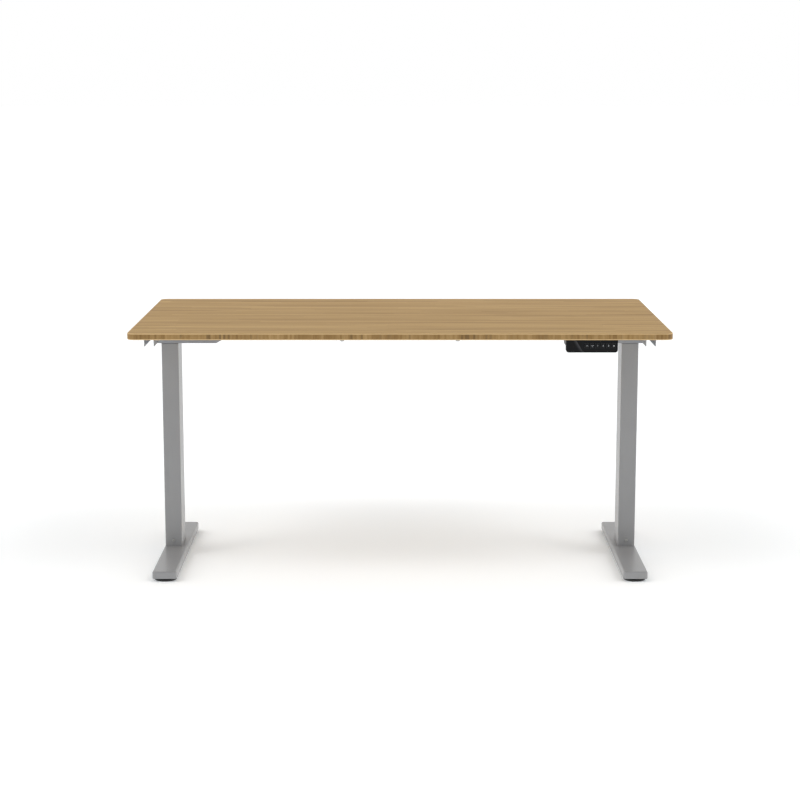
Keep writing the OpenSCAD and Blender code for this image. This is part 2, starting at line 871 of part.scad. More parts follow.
desktop();
mirror([1, 0, 0]) top_box();  // left_top_box
top_box();  // right_top_box
mirror([1, 0, 0]) side_bracket();  // left_side_bracket
side_bracket();  // right_side_bracket
mirror([1, 0, 0]) rail();  // left_rail
rail();  // right_rail
centre_beam();
beam_bolts();
bracket_bolts();
desktop_screws();
mirror([1, 0, 0]) inner_tube();  // left_inner_tube
inner_tube();  // right_inner_tube
mirror([1, 0, 0]) slide_pads();  // left_slide_pads
slide_pads();  // right_slide_pads
mirror([1, 0, 0]) gearbox();  // left_gearbox
gearbox();  // right_gearbox
mirror([1, 0, 0]) gearbox_cover();  // left_gearbox_cover
gearbox_cover();  // right_gearbox_cover
mirror([1, 0, 0]) motor_can();  // left_motor_can
motor_can();  // right_motor_can
mirror([1, 0, 0]) worm_shaft();  // left_worm_shaft
worm_shaft();  // right_worm_shaft
mirror([1, 0, 0]) worm_wheel();  // left_worm_wheel
worm_wheel();  // right_worm_wheel
mirror([1, 0, 0]) spindle();  // left_spindle
spindle();  // right_spindle
mirror([1, 0, 0]) outer_tube();  // left_outer_tube
outer_tube();  // right_outer_tube
mirror([1, 0, 0]) tube_collar();  // left_tube_collar
tube_collar();  // right_tube_collar
mirror([1, 0, 0]) nut_post();  // left_nut_post
nut_post();  // right_nut_post
mirror([1, 0, 0]) spindle_nut();  // left_spindle_nut
spindle_nut();  // right_spindle_nut
mirror([1, 0, 0]) foot();  // left_foot
foot();  // right_foot
mirror([1, 0, 0]) foot_bolts();  // left_foot_bolts
foot_bolts();  // right_foot_bolts
mirror([1, 0, 0]) glide(-1);  // left_front_glide
mirror([1, 0, 0]) glide(1);  // left_rear_glide
glide(-1);  // right_front_glide
glide(1);  // right_rear_glide
control_box();
control_box_lid();
power_inlet();
lead_plugs();
lead_clips();
mirror([1, 0, 0]) motor_lead();  // left_motor_lead
motor_lead();  // right_motor_lead
handset_lead();
handset_body();
handset_face();
display_window();
key(0);  // key_up
key(1);  // key_down
key(2);  // key_1
key(3);  // key_2
key(4);  // key_3
key(5);  // key_memory
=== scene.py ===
"""Looks for a height adjustable standing desk: bamboo board, powder-coated steel, black plastic.

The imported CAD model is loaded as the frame, and the pieces made here ride on its bodies.
Everything is in metres, with +Z up and the front of the desk towards -Y.
"""

import json
import math

import bmesh
import bpy
from mathutils import Matrix, Vector


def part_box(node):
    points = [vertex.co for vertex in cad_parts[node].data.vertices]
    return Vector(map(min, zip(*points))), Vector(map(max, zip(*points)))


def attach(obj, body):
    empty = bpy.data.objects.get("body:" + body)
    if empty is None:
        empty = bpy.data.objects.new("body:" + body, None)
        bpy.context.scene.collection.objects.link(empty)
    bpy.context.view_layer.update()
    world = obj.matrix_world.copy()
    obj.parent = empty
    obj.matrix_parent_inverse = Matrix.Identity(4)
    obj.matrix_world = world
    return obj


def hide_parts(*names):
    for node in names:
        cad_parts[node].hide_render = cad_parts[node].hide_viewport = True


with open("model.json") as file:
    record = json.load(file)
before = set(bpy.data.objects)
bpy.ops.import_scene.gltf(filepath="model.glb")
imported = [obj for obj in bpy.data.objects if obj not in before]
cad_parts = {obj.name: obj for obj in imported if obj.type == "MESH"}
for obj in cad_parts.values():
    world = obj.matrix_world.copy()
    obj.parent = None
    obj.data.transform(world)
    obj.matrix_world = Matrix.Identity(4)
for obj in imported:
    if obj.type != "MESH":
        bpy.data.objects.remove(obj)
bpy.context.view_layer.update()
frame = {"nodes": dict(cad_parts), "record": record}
NODES = frame["nodes"]
SIDES = ("left", "right")

# Desktop board, and the bamboo strips, core blocks and face veneers it is glued from
BOARD_CORNER = 0.022
BOARD_EDGE_ROUND = 0.0022
STRIP_WIDTH = 0.0058
STRIP_LENGTH = 0.62
STRIP_DRIFT = 0.004
BLOCK_WIDTH = 0.024
VENEER = 0.0028
GLUE_LINE = 0.0003
STRIP_TONES = [
    (0.0, (0.225, 0.124, 0.038)), (0.35, (0.368, 0.229, 0.086)),
    (0.65, (0.440, 0.284, 0.114)), (1.0, (0.565, 0.384, 0.176))]
CORE_TONES = [
    (0.0, (0.160, 0.085, 0.026)), (0.30, (0.280, 0.168, 0.060)),
    (0.60, (0.375, 0.238, 0.094)), (1.0, (0.500, 0.342, 0.158))]
# Face veneer bands in the cut edge, painted paler than the face as a highlight where the rounded
# rims catch light
VENEER_HIGHLIGHT_TONES = ((0.590, 0.400, 0.195), (0.720, 0.510, 0.275))
KNUCKLES_PER_STRIP = 2.7
KNUCKLE_BROWN = (0.215, 0.122, 0.048)
BURNT_BROWN = (0.060, 0.028, 0.008)

# Feet
FOOT_CORNER = 0.007
FOOT_EDGE_ROUND = 0.0045
FOOT_WALL = 0.003
FOOT_BOSS_RADIUS = 0.010
FOOT_BOSS_ROUND = 0.0006

# Glossy face of the handset, from its foot to its head
PANEL_BLACK = (0.0070, 0.0070, 0.0070)
PANEL_BLUE_BLACK = (0.0060, 0.0075, 0.0100)

# Painted reflection on that face, a slanted paler band: where it crosses the middle, how far it
# leans, where its right side ends and its left side fades, and how weak it gets lower down
BAND_MIDDLE = 0.497
BAND_SLANT = 0.60
BAND_RIGHT = (0.0034, 0.0050)
BAND_LEFT = (-0.0090, 0.0015)
BAND_HEIGHT = (-0.018, 0.004)
BAND_WEAKEST = 0.45
REFLECTION_GREY = (0.052, 0.053, 0.057)

# Symbols printed on the keys
SYMBOL_THICK = 0.00006
FIGURE_SIZE = 0.0062
FIGURE_BOLDER = 0.00006
DOT_RADIUS = 0.0017
ARROW_HALF, ARROW_RISE, ARROW_STROKE = 0.0030, 0.0015, 0.0011

# Faces that meet at more than the sharp angle keep an edge, and ones within the flat angle join
SHARP_ANGLE = math.radians(35)
FLAT_ANGLE = math.radians(0.5)
WELD_DISTANCE = 0.00001
SAME_PLACE = 0.000001
# An edge or a face points up, down or flat when this much of it does
MOSTLY = 0.9
LEVEL_FACE = 0.75

# A noise seldom leaves the span between these two
NOISE_LOW, NOISE_HIGH = 0.3, 0.7

# Studio floor
FLOOR_HALF_SIZE = 60.0
FLOOR_TONES = ((0.92, 0.92, 0.92), (0.94, 0.94, 0.94))
FLOOR_GLOW = 0.18
FLOOR_GLOW_COLOUR = (0.90, 0.97, 1.0, 1.0)

# Studio light, relative to a white of 1
WHITE = (1.0, 1.0, 1.0, 1.0)
FRONT_GLOW, BACK_GLOW = 0.48, 1.12
HORIZON_SHARE, ZENITH_SHARE = 0.95, 0.60
# Lamps in pairs, one on each side: way out, back and up, how tight, and power
LAMPS = [(0.55, -0.30, 0.78, 60.0, 4.6), (0.95, -0.02, 0.30, 10.0, 2.10)]

# Camera, in metres and degrees
CAMERA_PLACE = (0.0, -5.364, 1.461)
CAMERA_PITCH = 9.239
CAMERA_LENS = 81.5
CAMERA_SENSOR = 36.0
CAMERA_SHIFT = -0.05

# Leads, on the same routes as their CAD solids
MOTOR_LEAD_RADIUS = 0.003
HANDSET_LEAD_RADIUS = 0.002
LEAD_ROUNDNESS = 5
STEPS_PER_POINT = 6
MOTOR_ROUTE = [
    (0.600, 0.025, 0.690), (0.600, 0.038, 0.690), (0.599, 0.062, 0.694), (0.593, 0.088, 0.700),
    (0.576, 0.101, 0.702), (0.550, 0.104, 0.702), (0.500, 0.104, 0.702), (0.400, 0.104, 0.702),
    (0.300, 0.104, 0.702), (0.230, 0.104, 0.702), (0.200, 0.107, 0.700), (0.180, 0.120, 0.692),
    (0.165, 0.133, 0.687), (0.154, 0.135, 0.686)]
HANDSET_ROUTE = [
    (0.5355, -0.314, 0.697), (0.5355, -0.302, 0.697), (0.532, -0.288, 0.699),
    (0.519, -0.273, 0.702), (0.497, -0.260, 0.7035), (0.475, -0.246, 0.7035),
    (0.465, -0.222, 0.7035), (0.465, -0.190, 0.7035), (0.465, -0.150, 0.7035),
    (0.465, -0.090, 0.7035), (0.465, 0.000, 0.7035), (0.465, 0.050, 0.7035),
    (0.459, 0.070, 0.7035), (0.440, 0.079, 0.7035), (0.415, 0.080, 0.7035),
    (0.390, 0.080, 0.7035), (0.330, 0.080, 0.7035), (0.280, 0.080, 0.7035),
    (0.240, 0.080, 0.7035), (0.200, 0.081, 0.703), (0.180, 0.083, 0.696),
    (0.166, 0.085, 0.688), (0.154, 0.085, 0.686)]


# ---------------------------------------------------------------- shader building

class Graph:
    """Short names for the node steps used here."""

    def __init__(self, tree):
        self.tree = tree

    def node(self, kind, **settings):
        made = self.tree.nodes.new(kind)
        for key, value in settings.items():
            setattr(made, key, value)
        return made

    def link(self, source, target):
        self.tree.links.new(source, target)

    def feed(self, socket, value):
        if isinstance(value, bpy.types.NodeSocket):
            self.link(value, socket)
        else:
            socket.default_value = value

    def math(self, operation, a, b=0.0, c=0.0):
        made = self.node("ShaderNodeMath", operation=operation)
        for socket, value in zip(made.inputs, (a, b, c)):
            self.feed(socket, value)
        return made.outputs[0]

    def vector(self, x, y, z):
        made = self.node("ShaderNodeCombineXYZ")
        for socket, value in zip(made.inputs, (x, y, z)):
            self.feed(socket, value)
        return made.outputs[0]

    def scaled(self, value, low, high, out_low=0.0, out_high=1.0):
        made = self.node("ShaderNodeMapRange")
        for socket, number in zip(made.inputs, (value, low, high, out_low, out_high)):
            self.feed(socket, number)
        return made.outputs[0]

    def split(self, vector):
        """The X, Y and Z of a vector."""
        made = self.node("ShaderNodeSeparateXYZ")
        self.link(vector, made.inputs[0])
        return made.outputs


class Finish(Graph):
    """A material under construction, patterned on the piece's own place."""

    def __init__(self, name, roughness=0.5, metallic=0.0):
        self.material = bpy.data.materials.new(name)
        self.material.use_nodes = True
        super().__init__(self.material.node_tree)
        self.surface = self.tree.nodes["Principled BSDF"]
        self.set("Roughness", roughness)
        self.set("Metallic", metallic)
        self.place = self.node("ShaderNodeTexCoord").outputs["Object"]
        self.x, self.y, self.z = self.split(self.place)

    def set(self, socket, value):
        self.feed(self.surface.inputs[socket], value)

    def stretched(self, sx, sy, sz):
        """The piece's own place, drawn out differently along each axis."""
        return self.vector(self.math("MULTIPLY", self.x, sx), self.math("MULTIPLY", self.y, sy),
                           self.math("MULTIPLY", self.z, sz))

    def noise(self, scale, detail, roughness=0.5, where=None):
        made = self.node("ShaderNodeTexNoise")
        self.link(where or self.place, made.inputs["Vector"])
        made.inputs["Scale"].default_value = scale
        made.inputs["Detail"].default_value = detail
        made.inputs["Roughness"].default_value = roughness
        return made.outputs["Fac"]

    def chance(self, where):
        """An even random number for each whole-numbered place."""
        made = self.node("ShaderNodeTexWhiteNoise", noise_dimensions="3D")
        self.link(where, made.inputs["Vector"])
        return made.outputs["Value"]

    def ramp(self, value, stops):
        """A colour looked up in a list of places from 0 to 1 and their colours."""
        made = self.node("ShaderNodeValToRGB")
        self.link(value, made.inputs[0])
        ramp = made.color_ramp
        while len(ramp.elements) < len(stops):
            ramp.elements.new(0.5)
        for element, (position, colour) in zip(ramp.elements, stops):
            element.position = position
            element.color = (*colour, 1.0)
        return made.outputs[0]

    def two_tone(self, value, dark, light):
        """A colour that follows a noise between two tones."""
        return self.ramp(value, [(NOISE_LOW, dark), (NOISE_HIGH, light)])

    def spread(self, value, low, high):
        """A number that follows a noise between two values."""
        return self.scaled(value, NOISE_LOW, NOISE_HIGH, low, high)

    def rough_about(self, value, roughness):
        """Roughness that follows a noise a little to each side of the one given."""
        self.set("Roughness", self.spread(value, roughness - 0.06, roughness + 0.08))

    def mix(self, share, a, b):
        made = self.node("ShaderNodeMix", data_type="RGBA")
        self.feed(made.inputs[0], share)
        for socket, value in zip(made.inputs[6:8], (a, b)):
            self.feed(socket, (*value, 1.0) if isinstance(value, tuple) else value)
        return made.outputs[2]

    def bump(self, height, distance, strength):
        made = self.node("ShaderNodeBump")
        made.inputs["Strength"].default_value = strength
        made.inputs["Distance"].default_value = distance
        self.link(height, made.inputs["Height"])
        self.set("Normal", made.outputs[0])

    def edge_wear(self):
        """Higher where the surface turns sharply outwards."""
        geometry = self.node("ShaderNodeNewGeometry")
        return self.scaled(geometry.outputs["Pointiness"], 0.50, 0.56)


# ---------------------------------------------------------------- bamboo

def bamboo_face():
    """Lacquered face veneer: narrow strips that run along X, each with its own tone and fibres."""
    s = Finish("bamboo_face")
    # which strip this is, and how far along it; the fixed numbers keep the random draws apart
    drift = s.math("MULTIPLY", s.noise(2.2, 2.0), STRIP_DRIFT)
    across = s.math("DIVIDE", s.math("ADD", s.y, drift), STRIP_WIDTH)
    strip = s.math("FLOOR", across)
    shift = s.math("MULTIPLY", s.chance(s.vector(strip, 3.0, 7.0)), 5.0)
    along = s.math("ADD", s.math("DIVIDE", s.x, STRIP_LENGTH), shift)
    tone = s.chance(s.vector(strip, s.math("FLOOR", along), 1.0))
    fibres = s.noise(1.0, 4.0, 0.65, s.stretched(7.0, 900.0, 900.0))
    streaks = s.noise(1.0, 3.0, 0.6, s.stretched(2.6, 120.0, 120.0))
    bands = s.noise(1.0, 3.0, 0.55, s.stretched(1.7, 40.0, 40.0))
    value = s.math("MULTIPLY_ADD", tone, 0.50, s.math("MULTIPLY", fibres, 0.45))
    value = s.math("MULTIPLY_ADD", streaks, 0.75, value)
    value = s.math("MULTIPLY_ADD", bands, 0.85, value)
    colour = s.ramp(s.math("SUBTRACT", value, 0.79), STRIP_TONES)
    # a short darker dash across a strip at each knuckle of the cane
    place = s.math("FRACT", s.math("MULTIPLY", along, KNUCKLES_PER_STRIP))
    middle = s.scaled(s.math("ABSOLUTE", s.math("SUBTRACT", place, 0.5)), 0.0, 0.006, 1.0, 0.0)
    knuckle = s.math("MULTIPLY", middle, s.scaled(tone, 0.45, 0.75, 0.0, 0.4))
    s.set("Base Color", s.mix(knuckle, colour, KNUCKLE_BROWN))
    s.set("Roughness", s.spread(fibres, 0.52, 0.62))
    s.set("Specular IOR Level", 0.1)
    # a shallow groove where two strips meet
    seam = s.math("ABSOLUTE", s.math("SUBTRACT", s.math("FRACT", across), 0.5))
    height = s.math("MULTIPLY_ADD", fibres, 0.6, s.scaled(seam, 0.47, 0.5, 0.0, -0.5))
    s.bump(height, 0.00006, 0.5)
    return s.material


def bamboo_edge():
    """Cut edge of the board: upright core strips between two thin face veneers, painted paler than
    the face as a highlight along the rounded rims.
    """
    s = Finish("bamboo_edge", roughness=0.52)
    run = s.math("ADD", s.math("ADD", s.x, s.y), s.math("MULTIPLY", s.noise(14.0, 2.0), 0.006))
    wide = s.chance(s.vector(s.math("FLOOR", s.math("DIVIDE", run, BLOCK_WIDTH)), 2.0, 5.0))
    strip = s.chance(s.vector(s.math("FLOOR", s.math("DIVIDE", run, STRIP_WIDTH)), 8.0, 1.0))
    grain = s.noise(1.0, 4.0, 0.7,
                    s.vector(s.math("MULTIPLY", run, 600.0), 0.0, s.math("MULTIPLY", s.z, 50.0)))
    patches = s.noise(9.0, 2.0)
    value = s.math("MULTIPLY_ADD", wide, 0.26, s.math("MULTIPLY", strip, 0.40))
    value = s.math("MULTIPLY_ADD", grain, 0.70, value)
    value = s.math("SUBTRACT", s.math("MULTIPLY_ADD", patches, 0.40, value), 0.41)
    core = s.ramp(value, CORE_TONES)
    # a strip here and there is steamed almost black
    dark = s.math("MULTIPLY", s.scaled(strip, 0.80, 0.87), s.scaled(patches, 0.40, 0.58, 0.0, 0.60))
    core = s.mix(dark, core, BURNT_BROWN)
    low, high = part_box("desktop")
    above = s.scaled(s.z, high.z - VENEER - GLUE_LINE, high.z - VENEER + GLUE_LINE)
    below = s.scaled(s.z, low.z + VENEER + GLUE_LINE, low.z + VENEER - GLUE_LINE)
    # the veneer bands above and below are painted paler, a highlight along the rounded rims
    fibres = s.noise(1.0, 3.0, 0.6,
                     s.vector(s.math("MULTIPLY", run, 8.0), 0.0, s.math("MULTIPLY", s.z, 1500.0)))
    veneer = s.two_tone(fibres, *VENEER_HIGHLIGHT_TONES)
    s.set("Base Color", s.mix(s.math("MAXIMUM", above, below), core, veneer))
    s.set("Specular IOR Level", 0.2)
    s.bump(grain, 0.00008, 0.5)
    return s.material


# ---------------------------------------------------------------- metals

def powder_coat(name, dark, light, worn):
    """Satin powder coat: fine orange peel, a faint metallic speckle and paler rubbed edges."""
    s = Finish(name, metallic=0.06)
    s.set("Specular IOR Level", 0.35)
    speck = s.noise(2600.0, 1.0)
    tone = s.math("MULTIPLY_ADD", s.noise(9.0, 3.0), 0.5, s.math("MULTIPLY", speck, 0.5))
    colour = s.two_tone(tone, dark, light)
    s.set("Base Color", s.mix(s.math("MULTIPLY", s.edge_wear(), 0.25), colour, worn))
    peel = s.noise(420.0, 2.0, 0.55)
    s.set("Roughness", s.spread(peel, 0.27, 0.34))
    s.bump(s.math("MULTIPLY_ADD", speck, 0.1, peel), 0.00008, 0.25)
    return s.material


def plain_metal(name, dark, light, roughness, metallic=1.0):
    """A bare or blackened metal with turning or drawing marks."""
    s = Finish(name, metallic=metallic)
    marks = s.noise(1.0, 3.0, 0.6, s.stretched(60.0, 60.0, 900.0))
    s.set("Base Color", s.two_tone(marks, dark, light))
    s.rough_about(marks, roughness)
    s.bump(marks, 0.00003, 0.5)
    return s.material


def cast_alloy():
    """Dull, slightly lumpy casting of the gearboxes."""
    s = Finish("cast_alloy", roughness=0.55, metallic=0.9)
    lumps = s.noise(260.0, 4.0, 0.7)
    s.set("Base Color", s.two_tone(lumps, (0.36, 0.365, 0.37), (0.52, 0.525, 0.53)))
    s.bump(lumps, 0.0002, 0.5)
    return s.material


# ---------------------------------------------------------------- plastics

def moulded_plastic(name, dark, light, roughness, texture=900.0, depth=0.00008, shine=0.4):
    """Moulded plastic with a fine spark texture, a little paler where edges are rubbed."""
    s = Finish(name)
    s.set("Specular IOR Level", shine)
    spark = s.noise(texture, 3.0, 0.6)
    cloud = s.noise(24.0, 2.0)
    tone = s.math("MULTIPLY_ADD", spark, 0.6, s.math("MULTIPLY", cloud, 0.4))
    colour = s.two_tone(tone, dark, light)
    rubbed = tuple(min(1.0, 1.8 * c + 0.01) for c in light)
    s.set("Base Color", s.mix(s.math("MULTIPLY", s.edge_wear(), 0.4), colour, rubbed))
    s.rough_about(spark, roughness)
    s.bump(spark, depth, 0.4)
    return s.material


def slanted_reflection(s, colour):
    """A painted reflection: a paler band that fades out to the left, drawn across the face and the
    display alike.
    """
    low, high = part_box("handset_face")
    rise = s.math("SUBTRACT", s.z, (low.z + high.z) / 2)
    place = s.math("MULTIPLY_ADD", rise, BAND_SLANT, s.math("SUBTRACT", s.x, BAND_MIDDLE))
    right = s.scaled(place, *BAND_RIGHT, 1.0, 0.0)
    left = s.scaled(place, *BAND_LEFT)
    band = s.math("MULTIPLY", right, s.math("POWER", left, 2.0))
    band = s.math("MULTIPLY", band, s.scaled(rise, *BAND_HEIGHT, BAND_WEAKEST, 1.0))
    return s.mix(band, colour, REFLECTION_GREY)


def handset_panel():
    """Glossy face of the handset."""
    s = Finish("handset_panel")
    low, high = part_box("handset_face")
    colour = s.mix(s.scaled(s.z, low.z, high.z), PANEL_BLACK, PANEL_BLUE_BLACK)
    # a slanted paler band across the black is a painted reflection
    s.set("Base Color", slanted_reflection(s, colour))
    s.set("Roughness", s.spread(s.noise(60.0, 3.0), 0.16, 0.24))
    s.set("Specular IOR Level", 0.12)
    s.bump(s.noise(1400.0, 2.0), 0.00002, 0.3)
    return s.material


def display_glass():
    """Smoked window over the handset's display, which is off."""
    s = Finish("display_glass")
    smoke = s.two_tone(s.noise(40.0, 2.0), (0.0050, 0.0050, 0.0055), (0.0070, 0.0070, 0.0080))
    # the same painted reflection band runs across the smoked window
    s.set("Base Color", slanted_reflection(s, smoke))
    s.set("Roughness", s.spread(s.noise(90.0, 3.0), 0.08, 0.14))
    s.set("Specular IOR Level", 0.12)
    return s.material


def printed_symbol():
    """Pale grey ink of the key symbols."""
    s = Finish("printed_symbol")
    ink = s.noise(1500.0, 3.0)
    s.set("Base Color", s.two_tone(ink, (0.44, 0.46, 0.48), (0.58, 0.60, 0.62)))
    s.bump(ink, 0.00002, 0.4)
    return s.material


def lead_jacket():
    """Soft black jacket of the leads."""
    s = Finish("lead_jacket")
    grain = s.noise(800.0, 3.0)
    s.set("Base Color", s.two_tone(grain, (0.011, 0.011, 0.012), (0.022, 0.022, 0.023)))
    s.set("Roughness", s.spread(grain, 0.48, 0.62))
    s.bump(grain, 0.00005, 0.4)
    return s.material


BAMBOO_FACE = bamboo_face()
BAMBOO_EDGE = bamboo_edge()
SILVER = powder_coat(
    "silver_powder_coat", (0.259, 0.262, 0.268), (0.299, 0.302, 0.308), (0.42, 0.42, 0.425))
FRAME_GREY = powder_coat(
    "frame_powder_coat", (0.258, 0.271, 0.294), (0.291, 0.304, 0.329), (0.40, 0.41, 0.43))
BLACK_OXIDE = plain_metal("black_oxide", (0.018, 0.018, 0.020), (0.038, 0.038, 0.041), 0.42, 0.7)
ZINC = plain_metal("bright_zinc", (0.40, 0.40, 0.39), (0.56, 0.56, 0.54), 0.30)
BRIGHT_STEEL = plain_metal("ground_steel", (0.50, 0.50, 0.52), (0.66, 0.66, 0.68), 0.25)
BRONZE = plain_metal("machined_bronze", (0.48, 0.31, 0.12), (0.62, 0.43, 0.19), 0.32)
MOTOR_PAINT = moulded_plastic(
    "motor_paint", (0.020, 0.020, 0.022), (0.034, 0.034, 0.037), 0.38, texture=500.0)
ALLOY = cast_alloy()
GUIDE_GREY = moulded_plastic("guide_plastic", (0.14, 0.14, 0.15), (0.19, 0.19, 0.20), 0.5)
GLIDE_BLACK = moulded_plastic(
    "glide_plastic", (0.010, 0.010, 0.010), (0.018, 0.018, 0.018), 0.5, texture=700.0)
CASE_BLACK = moulded_plastic(
    "case_plastic", (0.012, 0.012, 0.013), (0.022, 0.022, 0.024), 0.48, texture=1100.0)
KEY_BLACK = moulded_plastic(
    "key_plastic", (0.0065, 0.0070, 0.0078), (0.0095, 0.0100, 0.0112), 0.28,
    texture=1500.0, depth=0.00002, shine=0.08)
PANEL = handset_panel()
DISPLAY = display_glass()
SYMBOL = printed_symbol()
JACKET = lead_jacket()

FINISH_BY_SLOT = {
    "bamboo": BAMBOO_FACE, "silver_steel": SILVER, "dark_bolts": BLACK_OXIDE, "zinc_screws": ZINC,
    "bright_steel": BRIGHT_STEEL, "guide_plastic": GUIDE_GREY, "glide_plastic": GLIDE_BLACK,
    "cast_alloy": ALLOY, "motor_paint": MOTOR_PAINT, "bronze": BRONZE,
    "black_plastic": CASE_BLACK, "lead_jacket": JACKET, "handset_gloss": PANEL,
    "display_black": DISPLAY, "key_plastic": KEY_BLACK}
# Steel under the board that is coated a cooler grey than the legs and feet
UNDER_DESK_STEEL = ("top_box", "side_bracket")

# Width of the rounding on each CAD node's edges
EDGE_ROUND = {
    "top_box": 0.0012, "side_bracket": 0.0008, "rail": 0.0015, "centre_beam": 0.0015,
    "control_box": 0.0015, "control_box_lid": 0.0008, "handset_body": 0.0012,
    "handset_face": 0.0004, "power_inlet": 0.0005, "lead_plugs": 0.0008, "lead_clips": 0.0006,
    "front_glide": 0.0006, "rear_glide": 0.0006, "tube_collar": 0.0004, "beam_bolts": 0.0003,
    "bracket_bolts": 0.0002, "desktop_screws": 0.0002, "foot_bolts": 0.0003, "gearbox": 0.0010,
    "gearbox_cover": 0.0008, "motor_can": 0.0008, "outer_tube": 0.0003, "inner_tube": 0.0003}


# ---------------------------------------------------------------- shared modelling steps

def side_free(node):
    """A node's name without its left_ or right_."""
    for side in SIDES:
        if node.startswith(side + "_"):
            return node[len(side) + 1:]
    return node


def flat_faces(thing, keep_sharp):
    """Shades large faces flat right up to their rounded edges."""
    flat = thing.modifiers.new("flat_faces", "WEIGHTED_NORMAL")
    flat.keep_sharp = keep_sharp


def round_edges(thing, width):
    """Joins a CAD node's triangles into whole faces, then rounds its sharp edges."""
    merge = thing.modifiers.new("weld", "WELD")
    merge.merge_threshold = WELD_DISTANCE
    whole = thing.modifiers.new("whole_faces", "DECIMATE")
    whole.decimate_type = "DISSOLVE"
    whole.angle_limit = FLAT_ANGLE
    rounding = thing.modifiers.new("edge_round", "BEVEL")
    rounding.width = width
    rounding.segments = 2
    rounding.limit_method = "ANGLE"
    rounding.angle_limit = SHARP_ANGLE
    rounding.use_clamp_overlap = True
    flat_faces(thing, keep_sharp=False)


def finish_cad_nodes():
    """Gives every CAD node its finish, and most of them softer edges."""
    slots = {entry["node"]: entry["material_slot"] for entry in frame["record"]["subparts"]}
    for name, thing in NODES.items():
        finish = FRAME_GREY if side_free(name) in UNDER_DESK_STEEL else FINISH_BY_SLOT[slots[name]]
        for holder in thing.material_slots:
            holder.material = finish
        width = EDGE_ROUND.get(side_free(name), 0.0)
        if width:
            round_edges(thing, width)


def piece_from(bm, name, body, materials, replaced=()):
    """Turns a bmesh into a finished piece that rides on a body."""
    bmesh.ops.recalc_face_normals(bm, faces=bm.faces)
    mesh = bpy.data.meshes.new(name)
    bm.to_mesh(mesh)
    bm.free()
    mesh.shade_smooth()
    mesh.set_sharp_from_angle(angle=SHARP_ANGLE)
    for material in materials:
        mesh.materials.append(material)
    thing = bpy.data.objects.new(name, mesh)
    bpy.context.scene.collection.objects.link(thing)
    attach(thing, body)
    if replaced:
        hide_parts(*replaced)
    return thing


def block(low, high):
    """A bmesh box between two corners."""
    bm = bmesh.new()
    bmesh.ops.create_cube(bm, size=1.0)
    size = Vector(high) - Vector(low)
    bmesh.ops.scale(bm, vec=size, verts=bm.verts)
    bmesh.ops.translate(bm, vec=(Vector(low) + Vector(high)) / 2, verts=bm.verts)
    return bm


def bmesh_from(data, name):
    """A bmesh of a curve or a text, with its doubled points merged."""
    maker = bpy.data.objects.new(name, data)
    mesh = bpy.data.meshes.new_from_object(maker)
    bpy.data.objects.remove(maker)
    bm = bmesh.new()
    bm.from_mesh(mesh)
    bpy.data.meshes.remove(mesh)
    bmesh.ops.remove_doubles(bm, verts=bm.verts, dist=SAME_PLACE)
    return bm


def upright(edge):
    a, b = edge.verts
    return abs(a.co.z - b.co.z) > MOSTLY * edge.calc_length()


def at_level(edge, z):
    return all(abs(v.co.z - z) < SAME_PLACE for v in edge.verts)


def bevel(bm, edges, offset, segments):
    """Rounds edges of a bmesh."""
    bmesh.ops.bevel(bm, geom=edges, offset=offset, offset_type="OFFSET", segments=segments,
                    profile=0.5, affect="EDGES", clamp_overlap=True, material=-1)


# ---------------------------------------------------------------- desktop

def make_board():
    """Board with round corners: face veneer above and below, cut edge all round."""
    low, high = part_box("desktop")
    bm = block(low, high)
    bevel(bm, [e for e in bm.edges if upright(e)], BOARD_CORNER, segments=16)
    rim = [e for e in bm.edges if at_level(e, high.z) or at_level(e, low.z)]
    bevel(bm, rim, BOARD_EDGE_ROUND, segments=4)
    bm.normal_update()
    for face in bm.faces:
        face.material_index = 0 if abs(face.normal.z) > LEVEL_FACE else 1
    board = piece_from(bm, "desktop_board", "top", [BAMBOO_FACE, BAMBOO_EDGE],
                       ["desktop"])
    flat_faces(board, keep_sharp=True)


# ---------------------------------------------------------------- feet

def make_foot(side):
    """Pressed steel tray with rounded top edges, upside down over its glides."""
    name = side + "_foot"
    low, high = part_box(name)
    foot_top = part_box(side + "_outer_tube")[0].z
    glides = [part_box(f"{side}_{end}_glide") for end in ("front", "rear")]
    bm = block(low, (high.x, high.y, foot_top))
    hollow = foot_top - FOOT_WALL - low.z
    bevel(bm, [e for e in bm.edges if upright(e)], FOOT_CORNER, segments=8)
    bevel(bm, [e for e in bm.edges if at_level(e, foot_top)], FOOT_EDGE_ROUND, segments=5)
    under = [f for f in bm.faces if f.normal.z < -MOSTLY]
    bmesh.ops.inset_region(bm, faces=under, thickness=FOOT_WALL, use_even_offset=True)
    bmesh.ops.translate(bm, vec=(0, 0, hollow), verts=list({v for f in under for v in f.verts}))
    # a turned boss inside the tray takes the screw of each glide
    for glide_low, glide_high in glides:
        middle = (glide_low + glide_high) / 2
        centre = Matrix.Translation((middle.x, middle.y, low.z + hollow / 2))
        boss = bmesh.ops.create_cone(bm, cap_ends=True, segments=40, radius1=FOOT_BOSS_RADIUS,
                                     radius2=FOOT_BOSS_RADIUS, depth=hollow, matrix=centre)
        rims = [e for e in {e for v in boss["verts"] for e in v.link_edges} if at_level(e, low.z)]
        bevel(bm, rims, FOOT_BOSS_ROUND, segments=2)
    foot = piece_from(bm, side + "_foot_shell", side + "_base", [SILVER], [name])
    flat_faces(foot, keep_sharp=True)


# ---------------------------------------------------------------- leads

def smooth_route(points):
    """Catmull-Rom curve through the route's points."""
    p = [Vector(q) for q in points]
    out = []
    for i in range(len(p) - 1):
        a, b, c, d = p[max(i - 1, 0)], p[i], p[i + 1], p[min(i + 2, len(p) - 1)]
        for k in range(STEPS_PER_POINT):
            t = k / STEPS_PER_POINT
            out.append(0.5 * (2 * b + (c - a) * t + (2 * a - 5 * b + 4 * c - d) * t * t
                              + (3 * b - a - 3 * c + d) * t ** 3))
    return out + [p[-1]]


